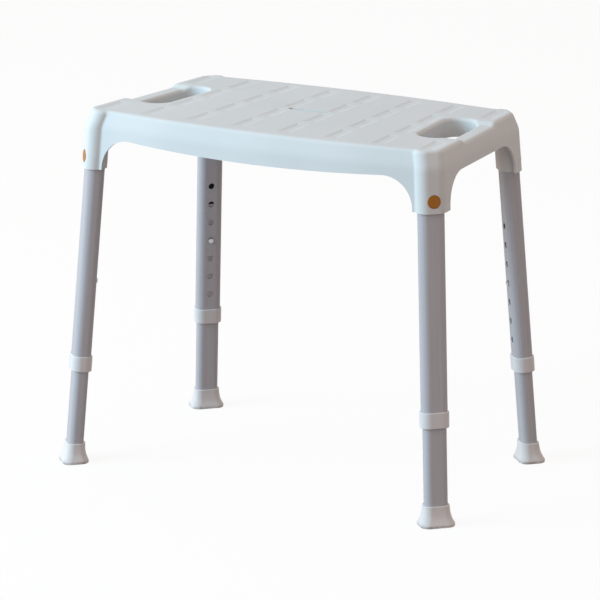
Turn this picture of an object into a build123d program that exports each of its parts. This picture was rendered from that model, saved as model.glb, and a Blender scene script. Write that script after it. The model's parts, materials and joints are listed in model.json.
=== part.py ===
from build123d import *
import os
from math import acos, cos, degrees, radians, sin, sqrt, tan

# Height-adjustable shower stool, in millimetres.
# +Z is up, X runs across the seat, the front faces -Y. The origin is on the floor below the
# middle of the seat, and the four legs stand at the middle of their seven height settings.

# Stance of the four legs
seat_height = 457.3            # floor to the top of the seat
front_half_stance = 262        # middle to a front leg's centre line, at the floor
back_half_stance = 241.5       # middle to a rear leg's centre line, at the floor
half_depth_stance = 146.5      # middle to a leg's centre line, front and back, at the floor
lean = 3.5                     # splay in degrees, seen from the front and from the side

# Seat shell
front_half_depth = 147.5       # middle to the bowed front apron, at the shoulder
back_half_depth = 143.5        # middle to the bowed back apron, at the shoulder
shell_wall = 3.5
shoulder_depth = 20            # below the seat's top: from there up, the skin is drawn in
shoulder_draw = 5              # how far it is drawn in at the seat's top
shoulder_bend = 5              # height of the bend above and below the shoulder
shoulder_steps = 4             # bands that make up the bend on the outside
hidden_steps = 2               # and on the inside
edge_radius = 6                # rounding of the top edge
join_radius = 4                # hollow rounding where an apron meets a pillar
pillar_width = 38              # leg pillar, across the seat's diagonal
pillar_depth = 29              # leg pillar, along the seat's diagonal
pillar_radius = 13
pillar_proud = 5.5             # how far a pillar stands in front of the apron beside it
pillar_bottom = 383            # height of the pillars' lower ends
arch_radius = 40               # arches from the aprons down to the pillars
front_apron_depth = 38.8       # below the seat's top, at the middle of the front and back
arch_top_depth = 33.3          # below the seat's top, where the front and back arches end
side_apron_depth = 32.3
socket_roof = 14               # solid plastic above the top end of a leg tube

# Handholds
handhold_width = 42.5
handhold_length = 114
handhold_corner = 20
handhold_centre = 195.75       # middle of the seat to the middle of a handhold
handhold_rim = 4.5             # rounding of the rim
skirt_wall = 3                 # skirt that hangs round a handhold
skirt_depth = 24               # below the seat's top
grip_half_length = 50          # recess over the grip bar, halfway up its end ramps
grip_depth = 4.5
grip_ramp_angle = 30
grip_ramp_radius = 8           # rounding at the top and bottom of a ramp
grip_thickness = 9             # of the solid bar below the recess

# Short grooves and drain on top of the seat
groove_depth = 0.9
groove_width = 18              # at the seat's top
groove_length = 52
groove_wall = 5                # run of a groove's sloping long sides
groove_end = 9                 # run of its sloping ends
groove_pitch = 62.5            # from groove to groove across the middle of the seat
groove_columns = 8
row_pitch = 63                 # from row to row of grooves
row_count = 4
groove_taper = 0.0004          # the columns spread towards the front, as a share for each millimetre
groove_margin = 2              # between a groove and the rounding of an edge
groove_least = 11              # width below which a groove is left out
drain_length = 57
drain_width = 8

# Ribs under the seat
rib_thickness = 2.5
rib_depth = 11                 # below the seat's top
cross_rib_spot = 46            # ribs along X, from the middle
long_rib_spots = (38, 112)     # ribs along Y, from the middle

# Leg tubes
upper_width = 32
upper_depth = 22.5
upper_radius = 9
tube_wall = 1.4
slide_clearance = 0.3          # between pieces that slide on each other
fit_clearance = 0.1            # between pieces that are pushed together and stay
setting_pitch = 25             # from one height setting to the next
setting_count = 7
middle_setting = 237           # along the leg, from the floor to the middle setting's hole
lower_tube_reach = 50          # from the height button to the top end of the lower tube
setting_hole = 8

# Height button, in the lower tube, on the side that faces the middle of the stool
button_tip = 2.8               # how far it stands out of the upper tube
button_dome = 1.8
button_flange = 11
button_flange_thick = 1.2
button_root = 4                # leg's centre line to the inner end of the button

# Leg lock button, in the pillar's outer face
lock_height = 397.9            # along the leg, from the floor
lock_diameter = 16
lock_tip = 0.3                 # how far it stands out of the pillar
lock_dome = 0.5
lock_flange = 17.8
lock_flange_thick = 1.4

# Hairpin springs behind the buttons
strip_thickness = 0.6
height_strip_width = 8
lock_strip_width = 11
hairpin_rise = 20              # from the button's middle to the centre of the bend
hairpin_tail = 16              # from the button's middle down to the end of the rear arm
hairpin_toe = 5                # from the button's middle down to the end of the front arm

# Guide collar at the lower end of the upper tube
collar_width = 35.6
collar_depth = 26.1
collar_radius = 10.8
collar_bottom = 120.7          # along the leg, from the floor
collar_height = 20
collar_lip = 2.5               # ledge that the upper tube stands on
collar_edge = 1.2

# Foot
foot_width = 44                # at the lip that stands on the floor
foot_depth = 34
foot_radius = 11
foot_height = 25.5
foot_lip = 3.2                 # upright part of the foot, at the floor
foot_lip_edge = 0.8
foot_floor = 5                 # rubber under the tube, along the leg
foot_top_width = 33
foot_top_depth = 23.6
foot_top_radius = 9
foot_top_edge = 1
foot_flare = ((0, 1), (0.1, 0.8), (0.3, 0.42), (0.55, 0.15), (0.8, 0.03), (1, 0))
# Each pair is a share of the way up from lip to top, and the share of the flare left there.

# What follows from these sizes
spread = tan(radians(lean))
slope_length = sqrt(1 + 2 * spread ** 2)       # along a leg, for one millimetre of height
LEGS = {"front_left": (-1, -1), "front_right": (1, -1), "rear_left": (-1, 1), "rear_right": (1, 1)}
bore_width = upper_width - 2 * tube_wall
bore_depth = upper_depth - 2 * tube_wall
bore_radius = upper_radius - tube_wall
lower_width = bore_width - 2 * slide_clearance
lower_depth = bore_depth - 2 * slide_clearance
lower_radius = bore_radius - slide_clearance
inner_width = lower_width - 2 * tube_wall
inner_depth = lower_depth - 2 * tube_wall
inner_radius = lower_radius - tube_wall
tube_top = (seat_height - socket_roof) * slope_length
tube_bottom = collar_bottom + collar_lip
lock_hole = lock_diameter + 2 * slide_clearance
beyond = 40                    # how far cutting tools run past what they cut
edge_skim = 0.02               # how far a rounded cut stays off the plane that it runs out on


def leg_axis(side, end, z):
    """Point on a leg's centre line at a height."""
    half_stance = front_half_stance if end < 0 else back_half_stance
    return Vector(side * (half_stance - spread * z), end * (half_depth_stance - spread * z), z)


def leg_plane(side, end):
    """Frame of a leg: origin on the floor, Z up the leg, Y out along the seat's diagonal."""
    up = Vector(-side * spread, -end * spread, 1).normalized()
    out = Vector(side, end, 0)
    out = (out - up * out.dot(up)).normalized()
    return Plane(origin=leg_axis(side, end, 0), x_dir=out.cross(up), z_dir=up)


def level_place(side, end, z):
    """Level frame on a leg's centre line, turned square to the seat's diagonal."""
    return Plane(origin=leg_axis(side, end, z), x_dir=Vector(side, -end, 0), z_dir=(0, 0, 1))


def heading(side, end, angle):
    """Level direction, turned from the front or back normal towards the side."""
    return Vector(side * sin(radians(angle)), end * cos(radians(angle)), 0)


def bar(width, depth, radius, start, stop):
    """Bar with a rounded section along local Z."""
    section = Plane.XY.offset(start) * RectangleRounded(width, depth, radius)
    return extrude(section, stop - start)


def pin(diameter, height, start, stop):
    """Round pin along local Y at a height up the leg."""
    disc = Plane(origin=(0, start, height), z_dir=(0, 1, 0)) * Circle(diameter / 2)
    return extrude(disc, stop - start)


def draw_in(z):
    """How far the skin is drawn in at a height: nothing below the shoulder's bend, then more and more."""
    slope = shoulder_draw / shoulder_depth
    rise = z - seat_height + shoulder_depth
    if rise > shoulder_bend:
        return slope * rise
    return slope * max(0, rise + shoulder_bend) ** 2 / (4 * shoulder_bend)


def pillar_corners(side, end, z):
    """Centres of a pillar's two outer corner arcs: by the seat's side, and by its front or back."""
    out = heading(side, end, 45)
    along = Vector(side, -end, 0).normalized()
    middle = leg_axis(side, end, z) + out * (pillar_depth / 2 - pillar_radius - draw_in(z) * sqrt(2))
    half_flat = along * (pillar_width / 2 - pillar_radius)
    return middle + half_flat, middle - half_flat


def join_turn(inset):
    """Angle round a pillar's end corner, past the front or back normal, at which the apron starts."""
    radius = pillar_radius - inset
    return degrees(acos((radius - pillar_proud) / radius))


def apron_join(side, end, z, inset):
    """Point where the front or back apron leaves a pillar."""
    by_end = pillar_corners(side, end, z)[1]
    return by_end + heading(side, end, -join_turn(inset)) * (pillar_radius - inset)


def side_normal(side, z):
    """Level direction square to the seat's side."""
    run = pillar_corners(side, 1, z)[0] - pillar_corners(side, -1, z)[0]
    return (Vector(run.Y, -run.X, 0) * side).normalized()


def bow_depth(end, z):
    """Distance from the middle to the front or back apron, at a height."""
    half_depth = front_half_depth if end < 0 else back_half_depth
    return half_depth + spread * (seat_height - shoulder_depth - z) - draw_in(z)


def seat_outline(z, inset):
    """Plan of the seat at a height: bowed front and back, straight sides, a pillar at each leg."""
    radius = pillar_radius - inset
    crest_turn = (45 - join_turn(inset)) / 2
    edges = []
    joins = []
    for side in (-1, 1):
        square = side_normal(side, z)
        touches = [pillar_corners(side, end, z)[0] + square * radius for end in (-1, 1)]
        edges.append(Line(*touches))
        for end, touch in zip((-1, 1), touches):
            by_side, by_end = pillar_corners(side, end, z)
            out = heading(side, end, 45)
            joins.append(apron_join(side, end, z, inset))
            crest = by_end + heading(side, end, crest_turn) * radius
            shoulder = by_side + (out + square).normalized() * radius
            edges.append(ThreePointArc(joins[-1], crest, by_end + out * radius))
            edges.append(Line(by_end + out * radius, by_side + out * radius))
            edges.append(ThreePointArc(by_side + out * radius, shoulder, touch))
    for end in (-1, 1):
        bow = Vector(0, end * (bow_depth(end, z) - inset), z)
        edges.append(ThreePointArc(apron_join(-1, end, z, inset), bow, apron_join(1, end, z, inset)))
    plan = make_face(edges)
    hollows = [plan.vertices().sort_by_distance(join)[0] for join in joins]
    return fillet(hollows, join_radius + inset)


def seat_block(inset, top, bottom, steps):
    """Solid between plans of the seat, set in from the outer skin, with a shoulder."""
    bend = [seat_height - shoulder_depth + shoulder_bend * (1 - 2 * step / steps) for step in range(steps + 1)]
    return loft([seat_outline(z, inset) for z in (top, *bend, bottom)], ruled=True)


def round_top(block, radius):
    """Block with the edge of its flat top rounded."""
    return fillet(block.faces().sort_by(Axis.Z)[-1].edges(), radius)


def apron_gap(half_width, arch_top, middle_top):
    """Opening below an apron, drawn with Y up: two arches, and a straight or bowed edge between."""
    bottom = pillar_bottom - arch_radius
    spring = arch_top - arch_radius
    crown = half_width - arch_radius
    turn = arch_radius * sqrt(0.5)
    edges = [Polyline((-half_width, spring), (-half_width, bottom), (half_width, bottom),
                      (half_width, spring))]
    for hand in (-1, 1):
        edges.append(ThreePointArc((hand * half_width, spring), (hand * (crown + turn), spring + turn),
                                   (hand * crown, arch_top)))
    if middle_top < arch_top:
        edges.append(ThreePointArc((crown, arch_top), (0, middle_top), (-crown, arch_top)))
    else:
        edges.append(Line((crown, arch_top), (-crown, arch_top)))
    return make_face(edges)


def cut_aprons(shell):
    """Shell with the openings below its four aprons."""
    corner_flat = (pillar_width + pillar_depth) / 2 - 2 * pillar_radius
    reach = corner_flat * sqrt(0.5) + pillar_radius + spread * pillar_bottom
    arch_top = seat_height - arch_top_depth
    middle_top = seat_height - front_apron_depth
    side_top = seat_height - side_apron_depth
    for end, half_stance in ((-1, front_half_stance), (1, back_half_stance)):
        gap = apron_gap(half_stance - reach, arch_top, middle_top)
        shell -= extrude(Plane.XZ * gap, -end * 2 * half_depth_stance)
    gap = apron_gap(half_depth_stance - reach, side_top, side_top)
    return shell - extrude(Plane.YZ * gap, 2 * front_half_stance, both=True)


def pillar(side, end):
    """Solid pillar for one leg, just inside the shell's outer skin."""
    skin = shell_wall / 10
    section = RectangleRounded(pillar_width - 2 * skin, pillar_depth - 2 * skin, pillar_radius - skin)
    heights = (pillar_bottom, seat_height - shell_wall / 2)
    return loft([level_place(side, end, z) * section for z in heights], ruled=True)


def leg_socket(side, end):
    """Tool for the hole that a leg tube is pushed into, with the hole for its lock button."""
    hole = bar(upper_width + 2 * fit_clearance, upper_depth + 2 * fit_clearance,
               upper_radius + fit_clearance, pillar_bottom - beyond, tube_top)
    return leg_plane(side, end) * (hole + pin(lock_hole, lock_height, 0, beyond))


def side_place(side):
    """Frame on the seat's top at a handhold: X out of the seat, Z up."""
    return Plane(origin=(side * handhold_centre, 0, seat_height), x_dir=side_normal(side, seat_height),
                 z_dir=(0, 0, 1))


def side_distance(side):
    """From the middle of a handhold out to the seat's side, at the top."""
    by_side = pillar_corners(side, -1, seat_height)[0]
    return side_place(side).to_local_coords(by_side).X + pillar_radius


def handhold_plan(grow):
    """Plan of a handhold, grown on all sides."""
    return RectangleRounded(handhold_width + 2 * grow, handhold_length + 2 * grow, handhold_corner + grow)


def handhold_frame(side):
    """Skirt round a handhold, and the solid grip bar between it and the seat's side."""
    skirt = extrude(handhold_plan(skirt_wall), -skirt_depth)
    reach = side_distance(side) + shoulder_draw
    bar_depth = grip_depth + grip_thickness
    grip = Pos(reach / 2, 0, -bar_depth / 2) * Box(reach, handhold_length, bar_depth)
    return side_place(side) * (skirt + grip)


def grip_recess(side):
    """Tool that lowers the seat's top over a grip bar, with a soft ramp at each end."""
    turn = radians(grip_ramp_angle)
    rise = grip_ramp_radius * (1 - cos(turn))
    half_arc = (grip_ramp_radius * sin(turn / 2), grip_ramp_radius * (1 - cos(turn / 2)))
    half_run = grip_ramp_radius * sin(turn) + (grip_depth / 2 - rise) / tan(turn)
    low, high = grip_half_length - half_run, grip_half_length + half_run
    line_low = low + grip_ramp_radius * sin(turn)
    line_high = high - grip_ramp_radius * sin(turn)
    edges = [Line((-low, -grip_depth), (low, -grip_depth))]
    for hand in (-1, 1):
        foot = (hand * line_low, rise - grip_depth)
        brow = (hand * line_high, edge_skim - rise)
        brim = (hand * high, edge_skim)
        edges += [ThreePointArc((hand * low, -grip_depth),
                                (hand * (low + half_arc[0]), half_arc[1] - grip_depth), foot),
                  Line(foot, brow),
                  ThreePointArc(brow, (hand * (high - half_arc[0]), edge_skim - half_arc[1]), brim),
                  Line(brim, (hand * high, beyond))]
    edges.append(Line((-high, beyond), (high, beyond)))
    return side_place(side) * extrude(Plane.YZ * make_face(edges), side_distance(side) + beyond)


def brim_edges(block):
    """Edges all round the top of the seat, with the recesses over the grip bars."""
    bottom = seat_height - grip_depth - edge_skim
    level = [face for face in block.faces() if face.center().Z > bottom and face.normal_at().Z > 0.5]
    edges = ShapeList([edge for face in level for edge in face.edges()])
    found = []
    for edge in edges:
        middle = edge.center()
        spot = side_place(1 if middle.X > 0 else -1).to_local_coords(middle)
        in_hole = abs(spot.X) < handhold_width / 2 and abs(spot.Y) < handhold_length / 2
        on_outline = len([other for other in edges if other.is_same(edge)]) == 1
        if on_outline and not in_hole:
            found.append(edge)
    return found


def rim_edges(block, side):
    """Edges of the seat's top round one handhold."""
    place = side_place(side)
    found = []
    for edge in block.edges().filter_by_position(Axis.Z, seat_height - grip_depth - edge_skim, seat_height):
        spot = place.to_local_coords(edge.center())
        if abs(spot.X) <= handhold_width / 2 and abs(spot.Y) <= handhold_length / 2:
            found.append(edge)
    return found


def side_edge(y):
    """Distance from the middle to the seat's side at the top, at a distance to the front or back."""
    square = side_normal(1, seat_height)
    return (handhold_centre * square.X + side_distance(1) - y * square.Y) / square.X


def groove(spot, y, width):
    """Tool for one shallow groove in the seat's top, its sides and ends sloping."""
    place = Plane(origin=(spot, y, seat_height), x_dir=(-spot * groove_taper, 1, 0), z_dir=(0, 0, 1))
    brim = place.offset(groove_depth) * Rectangle(groove_length + 2 * groove_end, width + 2 * groove_wall)
    bed = place.offset(-groove_depth) * Rectangle(groove_length - 2 * groove_end, width - 2 * groove_wall)
    return loft([brim, bed], ruled=True)


def grooves():
    """Tools for the rows of grooves, those beside an edge or a handhold made narrower."""
    tools = []
    square = side_normal(1, seat_height)
    for row in range(row_count):
        y = (row - (row_count - 1) / 2) * row_pitch
        limit = side_edge(y) - edge_radius - groove_margin
        if abs(y) < handhold_length / 2:
            limit = handhold_centre - handhold_width / 2 - y * square.Y / square.X - handhold_rim - groove_margin
        for column in range(groove_columns // 2):
            spot = (column + 0.5) * groove_pitch * (1 - groove_taper * y)
            inner, outer = spot - groove_width / 2, min(spot + groove_width / 2, limit)
            if outer - inner > groove_least:
                for hand in (-1, 1):
                    tools.append(groove(hand * (inner + outer) / 2, y, outer - inner))
    return tools


def ribs():
    """Stiffening ribs under the seat's top."""
    deep = rib_depth - shell_wall / 2
    z = seat_height - shell_wall / 2 - deep / 2
    reach = 2 * (handhold_centre - handhold_width / 2 - skirt_wall / 2)
    bars = []
    for hand in (-1, 1):
        bars.append(Pos(0, hand * cross_rib_spot, z) * Box(reach, rib_thickness, deep))
        for spot in long_rib_spots:
            length = front_half_depth + back_half_depth
            bars.append(Pos(hand * spot, 0, z) * Box(rib_thickness, length, deep))
    return bars


def make_seat():
    """One moulding: top with grooves, handholds and drain, four aprons, and a pillar for each leg."""
    outer = seat_block(0, seat_height, pillar_bottom, shoulder_steps)
    for side in (-1, 1):
        outer -= grip_recess(side)
    outer = fillet(brim_edges(outer), edge_radius)
    for side in (-1, 1):
        outer -= side_place(side) * extrude(handhold_plan(0), 2 * skirt_depth, both=True)
        outer = fillet(rim_edges(outer, side), handhold_rim)
    core = round_top(seat_block(shell_wall / 2, seat_height - shell_wall / 2, pillar_bottom, hidden_steps),
                     edge_radius - shell_wall / 2)
    hollow = round_top(seat_block(shell_wall, seat_height - shell_wall, pillar_bottom - shell_wall, hidden_steps),
                       edge_radius - shell_wall)
    seat = cut_aprons(outer - hollow)
    for rib in ribs():
        seat += rib & core & outer
    for side, end in LEGS.values():
        seat += pillar(side, end) & outer
    for side in (-1, 1):
        seat += handhold_frame(side) & core & outer
    for tool in grooves():
        seat -= tool
    for side, end in LEGS.values():
        seat -= leg_socket(side, end)
    drain = Pos(0, 0, seat_height) * SlotOverall(drain_length, drain_width)
    return seat - extrude(drain, 2 * shell_wall, both=True)


def make_upper_tube():
    """Tube fixed in the seat, with a row of holes for the height button and one for the lock button."""
    tube = bar(upper_width, upper_depth, upper_radius, tube_bottom, tube_top)
    tube -= bar(bore_width, bore_depth, bore_radius, tube_bottom - beyond, tube_top + beyond)
    for step in range(setting_count):
        height = middle_setting + (step - (setting_count - 1) / 2) * setting_pitch
        tube -= pin(setting_hole, height, -beyond, 0)
    return tube - pin(lock_hole, lock_height, 0, beyond)


def make_lower_tube():
    """Tube that slides in the upper tube, with one hole for its height button."""
    top = middle_setting + lower_tube_reach
    tube = bar(lower_width, lower_depth, lower_radius, foot_floor, top)
    tube -= bar(inner_width, inner_depth, inner_radius, -beyond, top + beyond)
    return tube - pin(setting_hole, middle_setting, -beyond, 0)


def make_collar():
    """Plastic sleeve on the lower end of the upper tube, which guides the lower tube."""
    top = collar_bottom + collar_height
    sleeve = bar(collar_width, collar_depth, collar_radius, collar_bottom, top)
    sleeve = fillet(sleeve.faces().filter_by(Axis.Z).edges(), collar_edge)
    sleeve -= bar(bore_width, bore_depth, bore_radius, collar_bottom - beyond, top)
    return sleeve - bar(upper_width + 2 * fit_clearance, upper_depth + 2 * fit_clearance,
                        upper_radius + fit_clearance, tube_bottom, top + beyond)


def make_foot(side, end):
    """Rubber foot: an upright lip on the floor, from which a flare runs up to a sleeve on the lower tube."""
    lip_top = level_place(side, end, foot_lip) * RectangleRounded(foot_width, foot_depth, foot_radius)
    lip = extrude(lip_top, -foot_lip)
    lip = fillet(lip.faces().sort_by(Axis.Z)[0].edges(), foot_lip_edge)
    sections = []
    for rise, share in foot_flare:
        width = foot_top_width + share * (foot_width - foot_top_width)
        depth = foot_top_depth + share * (foot_depth - foot_top_depth)
        radius = foot_top_radius + share * (foot_radius - foot_top_radius)
        place = level_place(side, end, foot_lip + rise * (foot_height - foot_lip))
        sections.append(place * RectangleRounded(width, depth, radius))
    sleeve = loft(sections)
    sleeve = fillet(sleeve.faces().sort_by(Axis.Z)[-1].edges(), foot_top_edge)
    hole = bar(lower_width + 2 * fit_clearance, lower_depth + 2 * fit_clearance,
               lower_radius + fit_clearance, foot_floor, foot_floor + foot_height + beyond)
    return lip + sleeve - leg_plane(side, end) * hole


def make_height_button():
    """Sprung button that reaches through both tubes, with a flange inside the lower tube."""
    tip = -(upper_depth / 2 + button_tip)
    stem = pin(setting_hole - 2 * slide_clearance, middle_setting, tip, -button_root)
    stem = fillet(stem.edges().sort_by(Axis.Y)[0], button_dome)
    seat_face = -(inner_depth / 2 - slide_clearance)
    return stem + pin(button_flange, middle_setting, seat_face, seat_face + button_flange_thick)


def make_lock_button():
    """Sprung button that reaches through the tube and the pillar, with a flange inside the tube."""
    seat_face = bore_depth / 2 - 2 * slide_clearance
    root = seat_face - lock_flange_thick
    stem = pin(lock_diameter, lock_height, root, pillar_depth / 2 + lock_tip)
    stem = fillet(stem.edges().sort_by(Axis.Y)[-1], lock_dome)
    return stem + pin(lock_flange, lock_height, root, seat_face)


def hairpin(front, rear, height, strip_width):
    """Strip bent double inside a tube: one arm behind a button, the other flat on the far wall."""
    middle = (front + rear) / 2
    half_gap = abs(rear - front) / 2
    bend = height + hairpin_rise
    toe = height - hairpin_tail
    short_toe = height - hairpin_toe

    def loop(half):
        arms = Pos(middle, (toe + bend) / 2) * Rectangle(2 * half, bend - toe)
        return arms + Pos(middle, bend) * Circle(half)

    strip = loop(half_gap) - loop(half_gap - strip_thickness)
    strip -= Pos((front + middle) / 2, (toe + short_toe) / 2) * Rectangle(half_gap, short_toe - toe)
    return extrude(Plane.YZ * strip, strip_width / 2, both=True)


def make_height_spring():
    """Hairpin spring in the lower tube, behind the height button."""
    return hairpin(-button_root + fit_clearance, inner_depth / 2, middle_setting, height_strip_width)


def make_lock_spring():
    """Hairpin spring in the upper tube, behind the lock button."""
    root = bore_depth / 2 - 2 * slide_clearance - lock_flange_thick
    return hairpin(root - fit_clearance, -bore_depth / 2, lock_height, lock_strip_width)


def make_leg(side, end):
    """All pieces of one leg, each in place."""
    place = leg_plane(side, end)
    return {
        "upper_tube": place * make_upper_tube(),
        "collar": place * make_collar(),
        "lower_tube": place * make_lower_tube(),
        "foot": make_foot(side, end),
        "height_button": place * make_height_button(),
        "height_spring": place * make_height_spring(),
        "lock_button": place * make_lock_button(),
        "lock_spring": place * make_lock_spring(),
    }


def main():
    """Write each piece of the stool to its own file."""
    os.makedirs("parts", exist_ok=True)
    export_step(make_seat(), "parts/seat.step")
    for leg, (side, end) in LEGS.items():
        for piece, shape in make_leg(side, end).items():
            export_step(shape, f"parts/{leg}_{piece}.step")


main()
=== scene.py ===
# %% [markdown]
# # A shower stool with telescopic legs
#
# The stool is one grey plastic moulding on four splayed aluminium legs. Every hard piece already
# comes from the CAD frame at its true size, so this lesson is about looks: the camera of the
# photograph, one carefully made finish for each material, merged copies of the springs, and a white
# studio.

# %% Load the frame
import json
from math import cos, radians, sin

import bmesh
import bpy
from mathutils import Matrix, Vector


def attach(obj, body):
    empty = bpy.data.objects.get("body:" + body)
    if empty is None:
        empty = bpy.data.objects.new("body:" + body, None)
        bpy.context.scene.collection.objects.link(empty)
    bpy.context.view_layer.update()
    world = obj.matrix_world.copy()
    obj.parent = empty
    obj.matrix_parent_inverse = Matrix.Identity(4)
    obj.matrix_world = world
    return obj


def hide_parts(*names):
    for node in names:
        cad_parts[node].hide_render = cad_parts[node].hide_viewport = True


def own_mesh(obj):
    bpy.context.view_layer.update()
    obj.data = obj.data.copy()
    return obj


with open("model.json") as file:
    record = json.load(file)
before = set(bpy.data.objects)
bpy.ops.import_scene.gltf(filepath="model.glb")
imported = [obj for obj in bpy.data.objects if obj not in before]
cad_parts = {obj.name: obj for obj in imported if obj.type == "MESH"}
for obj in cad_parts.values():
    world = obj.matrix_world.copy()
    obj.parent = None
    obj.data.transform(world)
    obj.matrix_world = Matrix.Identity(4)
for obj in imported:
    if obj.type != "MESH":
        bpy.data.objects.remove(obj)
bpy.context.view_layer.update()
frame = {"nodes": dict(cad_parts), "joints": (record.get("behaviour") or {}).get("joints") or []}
LEGS = ("front_left", "front_right", "rear_left", "rear_right")

# %% [markdown]
# ## The camera
#
# The photograph was taken from far away with a long lens, from the front right and a little above
# the seat. The feet, collars, pillars and height holes fix that camera to about a pixel. Blender
# could keep it as one matrix, but plain measures can be read and changed one at a time: two angles,
# a distance, and the point it looks at.

# %% Set the camera
VIEW_TURN = 29.87          # degrees from the stool's front, towards its right
VIEW_RISE = 15.1           # degrees above level
VIEW_DISTANCE = 4.914      # metres from the camera to the point it looks at
VIEW_SHIFT = -0.0108       # metres that the view's middle lies to the right of the stool's middle
VIEW_HEIGHT = 0.2126       # metres from the floor to the view's middle
SENSOR = 36                # millimetres, the width of the camera's sensor
LENS = 233.5               # millimetres

turn, rise = radians(VIEW_TURN), radians(VIEW_RISE)
view_back = Vector((sin(turn) * cos(rise), -cos(turn) * cos(rise), sin(rise)))
view_right = Vector((cos(turn), sin(turn), 0))
view_up = view_back.cross(view_right)

lens = bpy.data.cameras.new("photo_lens")
lens.sensor_width = SENSOR
lens.lens = LENS
camera = bpy.data.objects.new("photo_camera", lens)
bpy.context.scene.collection.objects.link(camera)
eye = view_right * VIEW_SHIFT + Vector((0, 0, VIEW_HEIGHT)) + view_back * VIEW_DISTANCE
axes = Matrix((view_right, view_up, view_back)).transposed().to_4x4()
camera.matrix_world = Matrix.Translation(eye) @ axes
bpy.context.scene.camera = camera
bpy.context.scene.view_settings.view_transform = "Standard"
print("camera at", [round(v, 3) for v in eye])

# %% [markdown]
# ## Shader sums as Python sums
#
# Finishes are built from noise, masks and mixes. Wiring every Math node by hand hides the idea, so
# one small class wraps a node's output and lets Python's own operators add the nodes.

# %% Wrap sockets in a small class


class Wire:
    """One output socket; sums on it add Math nodes to its tree."""

    def __init__(self, tree, socket):
        self.tree = tree
        self.socket = socket

    def math(self, operation, *others):
        inputs = dict(enumerate((self, *others)))
        return add(self.tree, "ShaderNodeMath", {"operation": operation}, inputs)

    def __add__(self, other):
        return self.math("ADD", other)

    __radd__ = __add__

    def __mul__(self, other):
        return self.math("MULTIPLY", other)

    __rmul__ = __mul__

    def __sub__(self, other):
        return self.math("SUBTRACT", other)

    def __rsub__(self, other):
        return add(self.tree, "ShaderNodeMath", {"operation": "SUBTRACT"}, {0: other, 1: self})

    def smooth(self, low, high):
        """0 below low, 1 above high, eased between."""
        settings = {"interpolation_type": "SMOOTHSTEP"}
        sockets = {"Value": self, "From Min": low, "From Max": high}
        return add(self.tree, "ShaderNodeMapRange", settings, sockets)


def add(tree, kind, settings=None, sockets=None, out=0):
    """Add a node: settings first, then values or links for its sockets; gives one output."""
    node = tree.nodes.new(kind)
    for name, value in (settings or {}).items():
        setattr(node, name, value)
    for name, value in (sockets or {}).items():
        if isinstance(value, Wire):
            tree.links.new(value.socket, node.inputs[name])
        else:
            node.inputs[name].default_value = value
    return Wire(tree, node.outputs[out]) if node.outputs else None


print("sums with +, - and * on a Wire add Math nodes")

# %% Make noise, bumps and colours
SHARE, FIRST_COLOUR, SECOND_COLOUR = 0, 6, 7    # a Mix node's inputs for colours
MIXED_COLOUR = 2                                # and its output


def blend(tree, share, first, second):
    """Colour between two colours, by a share from 0 to 1."""
    settings = {"data_type": "RGBA", "blend_type": "MIX"}
    sockets = {SHARE: share, FIRST_COLOUR: first, SECOND_COLOUR: second}
    return add(tree, "ShaderNodeMix", settings, sockets, out=MIXED_COLOUR)


def noise(tree, place, scale, detail):
    """Cloudy values about 0.5 at a number of lumps per metre."""
    sockets = {"Vector": place, "Scale": scale, "Detail": detail}
    return add(tree, "ShaderNodeTexNoise", {"noise_dimensions": "3D"}, sockets)


def bump(tree, height, strength, distance):
    """Surface normal from a height."""
    sockets = {"Height": height, "Strength": strength, "Distance": distance}
    return add(tree, "ShaderNodeBump", None, sockets)


def rgb(red, green, blue):
    """Colour as an image shows it, 0 to 255, as the linear values that shaders take."""
    shares = [value / 255 for value in (red, green, blue)]
    linear = [s / 12.92 if s <= 0.04045 else ((s + 0.055) / 1.055) ** 2.4 for s in shares]
    return (*linear, 1)


print("a picture's mid grey, 128, is", round(rgb(128, 128, 128)[0], 3), "to a shader")

# %% Start a finish and fill it in


def start_finish(name):
    """New material: its tree, its surface shader and the object coordinates."""
    material = bpy.data.materials.new(name)
    material.use_nodes = True
    tree = material.node_tree
    tree.nodes.clear()
    surface = add(tree, "ShaderNodeBsdfPrincipled")
    add(tree, "ShaderNodeOutputMaterial", None, {"Surface": surface})
    place = add(tree, "ShaderNodeTexCoord", out="Object")
    return material, tree, surface.socket.node, place


def feed(tree, node, **values):
    """Set or link sockets of a shader, with underscores for spaces."""
    for name, value in values.items():
        socket = node.inputs[name.replace("_", " ")]
        if isinstance(value, Wire):
            tree.links.new(value.socket, socket)
        else:
            socket.default_value = value


def show(material):
    """Print a finish's name and size, and give it back."""
    print("finish:", material.name, "of", len(material.node_tree.nodes), "nodes")
    return material


print("plain materials that came with the frame:", len(bpy.data.materials))

# %% [markdown]
# ## Seat plastic
#
# The seat is moulded in light grey plastic with a fine dull grain. The grain could be cut into the
# mesh, but at half a millimetre it would take millions of faces, so a bump makes it. Two sizes of
# noise give its height, and a very broad one lets the colour drift a little, as it does in a large
# moulding.

# %% Make the seat finish
SEAT_DRIFT = 9             # lumps per metre, as for every noise below
SEAT_PITTING = 620
SEAT_GRAIN = 1900
GRAIN_HEIGHT = 0.0002      # metres
SEAT_GREY, SEAT_PALE = rgb(201, 208, 209), rgb(205, 212, 213)


def seat_finish():
    material, tree, surface, place = start_finish("grained_seat_plastic")
    drift = noise(tree, place, SEAT_DRIFT, detail=3).smooth(0.35, 0.65)
    grain = noise(tree, place, SEAT_GRAIN, detail=2)
    pitting = noise(tree, place, SEAT_PITTING, detail=1)
    feed(
        tree, surface,
        Base_Color=blend(tree, drift, SEAT_GREY, SEAT_PALE),
        Roughness=0.46 + 0.12 * grain + 0.04 * drift,
        Specular_IOR_Level=0.3,
        Normal=bump(tree, grain + 0.5 * pitting, strength=0.12, distance=GRAIN_HEIGHT),
    )
    return material


seat_plastic = show(seat_finish())

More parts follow.
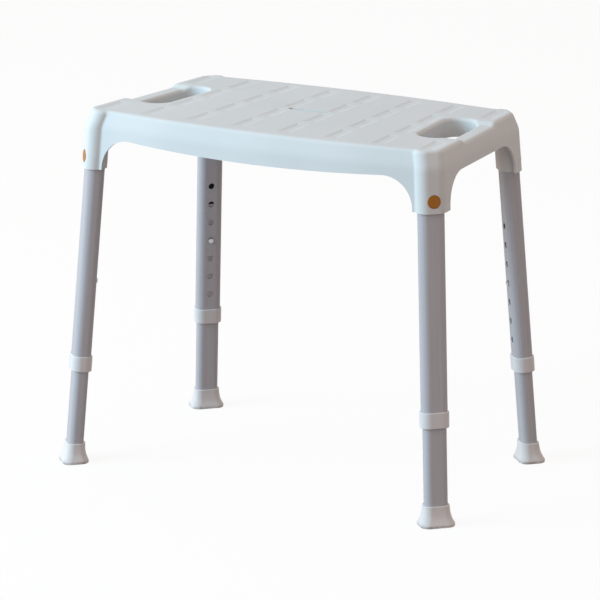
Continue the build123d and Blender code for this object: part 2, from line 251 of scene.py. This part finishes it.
# %% [markdown]
# ## Anodised tubes
#
# The leg tubes are drawn aluminium with a satin anodised skin, which scatters light almost as paint
# does, so it is only slightly metallic. Drawing leaves faint lines along the tube. They could be a
# picture wrapped round it, but noise needs no unwrapping. It is stretched along the leg: the object
# coordinates are turned into the leg's own directions and the one along the leg is squeezed.

# %% Make the tube finish
DRAWN_LINES = 2200         # lumps per metre across the tube
DRAWN_SQUEEZE = 0.004      # share of them along the tube
TUBE_CLOUD = 30
SKIN_HEIGHT = 0.0001       # metres
TUBE_GREY, TUBE_PALE = rgb(169, 171, 176), rgb(179, 181, 186)


def joint_named(name):
    """One of the frame's joints."""
    return next(joint for joint in frame["joints"] if joint["name"] == name)


def along_leg(tree, place, leg, squeeze):
    """Coordinates turned to a leg, with the direction along it squeezed."""
    up = Vector(joint_named(leg + "_height")["axis"]).normalized()
    tilt = Vector((0, 0, 1)).rotation_difference(up).inverted().to_euler()
    turned = add(tree, "ShaderNodeVectorRotate", {"rotation_type": "EULER_XYZ"},
                 {"Vector": place, "Rotation": tuple(tilt)})
    return add(tree, "ShaderNodeVectorMath", {"operation": "MULTIPLY"}, {0: turned, 1: (1, 1, squeeze)})


def tube_finish(leg):
    material, tree, surface, place = start_finish("satin_aluminium_" + leg)
    lines = noise(tree, along_leg(tree, place, leg, DRAWN_SQUEEZE), DRAWN_LINES, detail=3)
    cloud = noise(tree, place, TUBE_CLOUD, detail=2)
    feed(
        tree, surface,
        Base_Color=blend(tree, lines.smooth(0.3, 0.7), TUBE_GREY, TUBE_PALE),
        Metallic=0.08,
        Specular_IOR_Level=0.15,
        Roughness=0.46 + 0.1 * lines + 0.05 * cloud,
        Normal=bump(tree, lines, strength=0.06, distance=SKIN_HEIGHT),
    )
    return material


aluminium = {leg: show(tube_finish(leg)) for leg in LEGS}

# %% [markdown]
# ## Collars and feet
#
# The collars are satin plastic with a grain like the seat's. The feet are soft rubber with a slight
# gloss, and their lowest few millimetres are darker in patches. That could be painted by hand, but the
# object coordinates already hold the height above the floor, so a mask made from it does the same.

# %% Make the collar and foot finishes
COLLAR_GRAIN = 1500
COLLAR_DRIFT = 40
FOOT_CLOUD = 140
FOOT_DENTS = 0.0005        # metres
DARK_BAND_HEIGHT = 0.006       # metres above the floor
COLLAR_GREY, COLLAR_PALE = rgb(199, 202, 204), rgb(209, 211, 212)
FOOT_GREY, FOOT_PALE, BOTTOM_DARK = rgb(200, 201, 201), rgb(211, 211, 211), rgb(120, 116, 110)


def collar_finish():
    material, tree, surface, place = start_finish("satin_collar_plastic")
    grain = noise(tree, place, COLLAR_GRAIN, detail=2)
    drift = noise(tree, place, COLLAR_DRIFT, detail=2)
    feed(
        tree, surface,
        Base_Color=blend(tree, drift, COLLAR_GREY, COLLAR_PALE),
        Roughness=0.36 + 0.12 * grain,
        Normal=bump(tree, grain, strength=0.08, distance=GRAIN_HEIGHT),
    )
    return material


def foot_finish():
    material, tree, surface, place = start_finish("soft_foot_rubber")
    height = add(tree, "ShaderNodeSeparateXYZ", None, {"Vector": place}, out="Z")
    cloud = noise(tree, place, FOOT_CLOUD, detail=4)
    # the lowest few millimetres of each foot turn darker in patches
    dark_band = (1 - height.smooth(0.0, DARK_BAND_HEIGHT)) * cloud.smooth(0.42, 0.62)
    clean = blend(tree, cloud, FOOT_GREY, FOOT_PALE)
    feed(
        tree, surface,
        Base_Color=blend(tree, 0.55 * dark_band, clean, BOTTOM_DARK),
        Roughness=0.3 + 0.16 * cloud + 0.2 * dark_band,
        Normal=bump(tree, cloud, strength=0.1, distance=FOOT_DENTS),
    )
    return material


collar_plastic = show(collar_finish())
foot_rubber = show(foot_finish())

# %% [markdown]
# ## Buttons and springs
#
# The height buttons are bright plated steel, the springs are bare steel strip, and the lock buttons
# are ochre plastic. Each steel could have its own finish, but the two differ only in colour and
# polish, so one function makes both.

# %% Make the button and spring finishes
STEEL_SCUFFS = 900
LOCK_CLOUD = 260
BUTTON_BRIGHT, SPRING_GREY, STEEL_DULL = rgb(205, 205, 206), rgb(176, 176, 178), rgb(150, 150, 152)
OCHRE, OCHRE_PALE = rgb(156, 99, 26), rgb(168, 110, 34)


def steel_finish(name, colour, roughness):
    material, tree, surface, place = start_finish(name)
    scuffs = noise(tree, place, STEEL_SCUFFS, detail=3)
    feed(
        tree, surface,
        Base_Color=blend(tree, scuffs, colour, STEEL_DULL),
        Metallic=1.0,
        Roughness=roughness + 0.12 * scuffs,
        Normal=bump(tree, scuffs, strength=0.05, distance=SKIN_HEIGHT),
    )
    return material


def lock_finish():
    material, tree, surface, place = start_finish("ochre_plastic")
    cloud = noise(tree, place, LOCK_CLOUD, detail=3)
    feed(
        tree, surface,
        Base_Color=blend(tree, cloud, OCHRE, OCHRE_PALE),
        Specular_IOR_Level=0.25,
        Roughness=0.34 + 0.16 * cloud,
        Normal=bump(tree, cloud, strength=0.06, distance=GRAIN_HEIGHT),
    )
    return material


button_steel = show(steel_finish("bright_button_steel", BUTTON_BRIGHT, roughness=0.18))
spring_steel = show(steel_finish("bare_spring_steel", SPRING_GREY, roughness=0.3))
ochre_plastic = show(lock_finish())

# %% [markdown]
# ## Dress every CAD piece
#
# A piece could be copied before it is coloured, but a CAD piece that only needs a finish keeps its
# own mesh. The tubes of each leg have a finish of their own, because the drawn lines follow that leg.

# %% Give each piece its finish


def dress(node, material):
    """Put one finish on a CAD piece."""
    piece = frame["nodes"][node]
    piece.data.materials.clear()
    piece.data.materials.append(material)


dress("seat", seat_plastic)
for leg in LEGS:
    dress(leg + "_upper_tube", aluminium[leg])
    dress(leg + "_lower_tube", aluminium[leg])
    dress(leg + "_collar", collar_plastic)
    dress(leg + "_foot", foot_rubber)
    dress(leg + "_height_button", button_steel)
    dress(leg + "_height_spring", spring_steel)
    dress(leg + "_lock_button", ochre_plastic)
    dress(leg + "_lock_spring", spring_steel)
bare = [name for name, piece in frame["nodes"].items() if not piece.data.materials]
print("pieces:", len(frame["nodes"]), "without a finish:", bare)

# %% [markdown]
# ## Copies of the springs
#
# Behind every button sits a strip of steel bent double like a hairpin. When the button goes in, the
# strip's two arms come together. A rigid CAD spring can't do that. A merged copy of it takes its place
# on the body that carries it, and keeps the CAD spring's shape.

# %% Copy the springs onto their bodies
MERGE_DISTANCE = 1e-6      # metres
SHARP_ANGLE = 30           # degrees, above which an edge stays sharp


def folding_spring(node, body, press):
    """Merged copy of a hairpin spring on its body; gives back how deep the spring is along its press.
    """
    mesh = frame["nodes"][node].data.copy()
    merged = bmesh.new()
    merged.from_mesh(mesh)
    bmesh.ops.remove_doubles(merged, verts=merged.verts, dist=MERGE_DISTANCE)
    merged.to_mesh(mesh)
    merged.free()
    mesh.set_sharp_from_angle(angle=radians(SHARP_ANGLE))
    spring = bpy.data.objects.new(node + "_folding", mesh)
    bpy.context.scene.collection.objects.link(spring)
    joint = joint_named(press)
    inward = Vector(joint["axis"]).normalized()
    points = [vertex.co.copy() for vertex in mesh.vertices]
    rear = max(points, key=inward.dot)
    gap = rear.dot(inward) - min(point.dot(inward) for point in points)
    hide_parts(node)
    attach(spring, body)
    1 - joint["range_m"][1] / gap
    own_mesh(spring)
    return gap


for leg in LEGS:
    height_gap = folding_spring(leg + "_height_spring", leg + "_lower_leg", leg + "_height_press")
    lock_gap = folding_spring(leg + "_lock_spring", "seat_and_upper_legs", leg + "_lock_press")
    print(leg, "springs are", round(1000 * height_gap, 2), "and", round(1000 * lock_gap, 2), "mm deep")

# %% [markdown]
# ## The studio
#
# The photograph has a plain white ground. More light would make the floor white, but the stool would
# burn out with it. So the world is white only to the camera, to mirrors and to glass, and gives the
# stool a weaker, warm glow. The floor has two finishes for the same reason: a darker one that
# bounces light, and one that is seen. The seen one is mostly clear, so the stool shows through it
# from below, and so do feet that slide below the floor when the legs are drawn out.

# %% Build the floor and the world
FLOOR_HALF = 6.0           # metres
FLOOR_CLEAR = 0.9          # share of the seen floor that is clear; the rest shows the shadow
FLOOR_PALE = (0.9, 0.9, 0.9, 1)
FLOOR_BOUNCE = (0.28, 0.22, 0.20, 1)
WHITE = (1, 1, 1, 1)
WARM_GLOW = (1.0, 0.82, 0.75, 1)
GLOW_STRENGTH = 0.7


def seen_directly(tree):
    """1 where the camera, a mirror or glass looks, 0 for light that bounces."""
    rays = [add(tree, "ShaderNodeLightPath", out=name) for name in
            ("Is Camera Ray", "Is Glossy Ray", "Is Transmission Ray")]
    return rays[0].math("MAXIMUM", rays[1]).math("MAXIMUM", rays[2])


def studio_floor():
    mesh = bpy.data.meshes.new("studio_floor")
    corners = [(x * FLOOR_HALF, y * FLOOR_HALF, 0) for x, y in ((-1, -1), (1, -1), (1, 1), (-1, 1))]
    mesh.from_pydata(corners, [], [(0, 1, 2, 3)])
    floor = bpy.data.objects.new("studio_floor", mesh)
    bpy.context.scene.collection.objects.link(floor)
    material = bpy.data.materials.new("studio_floor")
    material.use_nodes = True
    tree = material.node_tree
    tree.nodes.clear()
    pale = add(tree, "ShaderNodeBsdfDiffuse", None, {"Color": FLOOR_PALE})
    clear = add(tree, "ShaderNodeBsdfTransparent")
    looks = add(tree, "ShaderNodeMixShader", None, {0: FLOOR_CLEAR, 1: pale, 2: clear})
    bounce = add(tree, "ShaderNodeBsdfDiffuse", None, {"Color": FLOOR_BOUNCE})
    mixed = add(tree, "ShaderNodeMixShader", None, {0: seen_directly(tree), 1: bounce, 2: looks})
    add(tree, "ShaderNodeOutputMaterial", None, {"Surface": mixed})
    mesh.materials.append(material)


def studio_world():
    world = bpy.data.worlds.new("studio")
    bpy.context.scene.world = world
    world.use_nodes = True
    tree = world.node_tree
    tree.nodes.clear()
    around = add(tree, "ShaderNodeBackground", None, {"Color": WARM_GLOW, "Strength": GLOW_STRENGTH})
    white = add(tree, "ShaderNodeBackground", None, {"Color": WHITE, "Strength": 1.0})
    mixed = add(tree, "ShaderNodeMixShader", None, {0: seen_directly(tree), 1: around, 2: white})
    add(tree, "ShaderNodeOutputWorld", None, {"Surface": mixed})


studio_floor()
studio_world()
print("floor:", 2 * FLOOR_HALF, "m wide, world glows at", GLOW_STRENGTH)

# %% [markdown]
# ## The lights
#
# The stool is lit by a large cool window in front on the left and a small warm panel low on the left
# for the legs. Sharp lamps could do it, but their shadows would be hard, so both are wide squares.
# Reflections leave them out, because the window would burn out the seat's top for anyone who looks
# towards it.

# %% Hang the lights
SEAT_MIDDLE = (0, 0, 0.4)
LEG_MIDDLE = (0, 0, 0.25)
WINDOW_SPOT = (-3.1, -3.1, 2.09)
WINDOW_COOL = (0.56, 0.83, 1.0)
PANEL_SPOT = (-2.39, -0.2, 0.25)
PANEL_WARM = (1.0, 0.55, 0.25)


def softbox(name, spot, target, size, power, colour):
    """Square area light at a spot, facing a target, which reflections leave out."""
    light = bpy.data.lights.new(name, "AREA")
    light.shape = "SQUARE"
    light.size = size
    light.energy = power
    light.color = colour
    lamp = bpy.data.objects.new(name, light)
    bpy.context.scene.collection.objects.link(lamp)
    lamp.location = spot
    lamp.visible_glossy = False
    lamp.rotation_euler = (Vector(target) - Vector(spot)).to_track_quat("-Z", "Y").to_euler()


softbox("window", WINDOW_SPOT, SEAT_MIDDLE, size=2.95, power=274, colour=WINDOW_COOL)
softbox("side_panel", PANEL_SPOT, LEG_MIDDLE, size=1.0, power=19, colour=PANEL_WARM)
print("lamps:", [lamp.name for lamp in bpy.data.lights])
